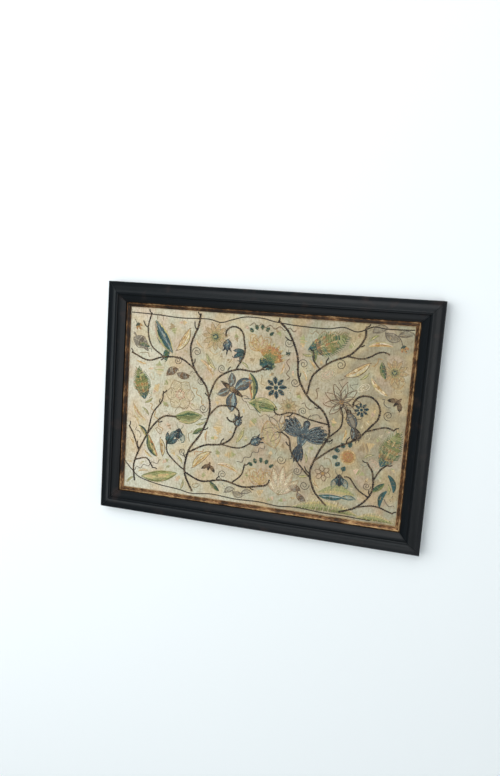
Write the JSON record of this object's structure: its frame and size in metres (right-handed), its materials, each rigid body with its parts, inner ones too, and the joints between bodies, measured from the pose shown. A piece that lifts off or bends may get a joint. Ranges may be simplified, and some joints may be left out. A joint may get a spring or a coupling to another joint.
{
  "type": "crewel embroidery panel in a moulded wood frame",
  "caption": "Linen panel worked in crewel wool with branching stems, flowers, birds and insects, in a dark moulded wood frame with a narrow gilt slip.",
  "frame": {"origin": "middle of the back of the frame, on the surface that the panel lies on", "axes": "+X across the panel to the right of its face, +Y up the panel, +Z out of its face"},
  "size_m": [0.43, 0.31, 0.0206],
  "materials": {
    "ebonised_wood": "black stained and waxed, satin",
    "gilding": "tarnished gilding",
    "linen": "plain weave linen worked in wool and silk"
  },
  "bodies": {
    "root": {"moulding_bottom": "ebonised_wood", "moulding_right": "ebonised_wood", "moulding_top": "ebonised_wood", "moulding_left": "ebonised_wood", "slip_bottom": "gilding", "slip_right": "gilding", "slip_top": "gilding", "slip_left": "gilding", "embroidered_linen": "linen"}
  },
  "joints": []
}
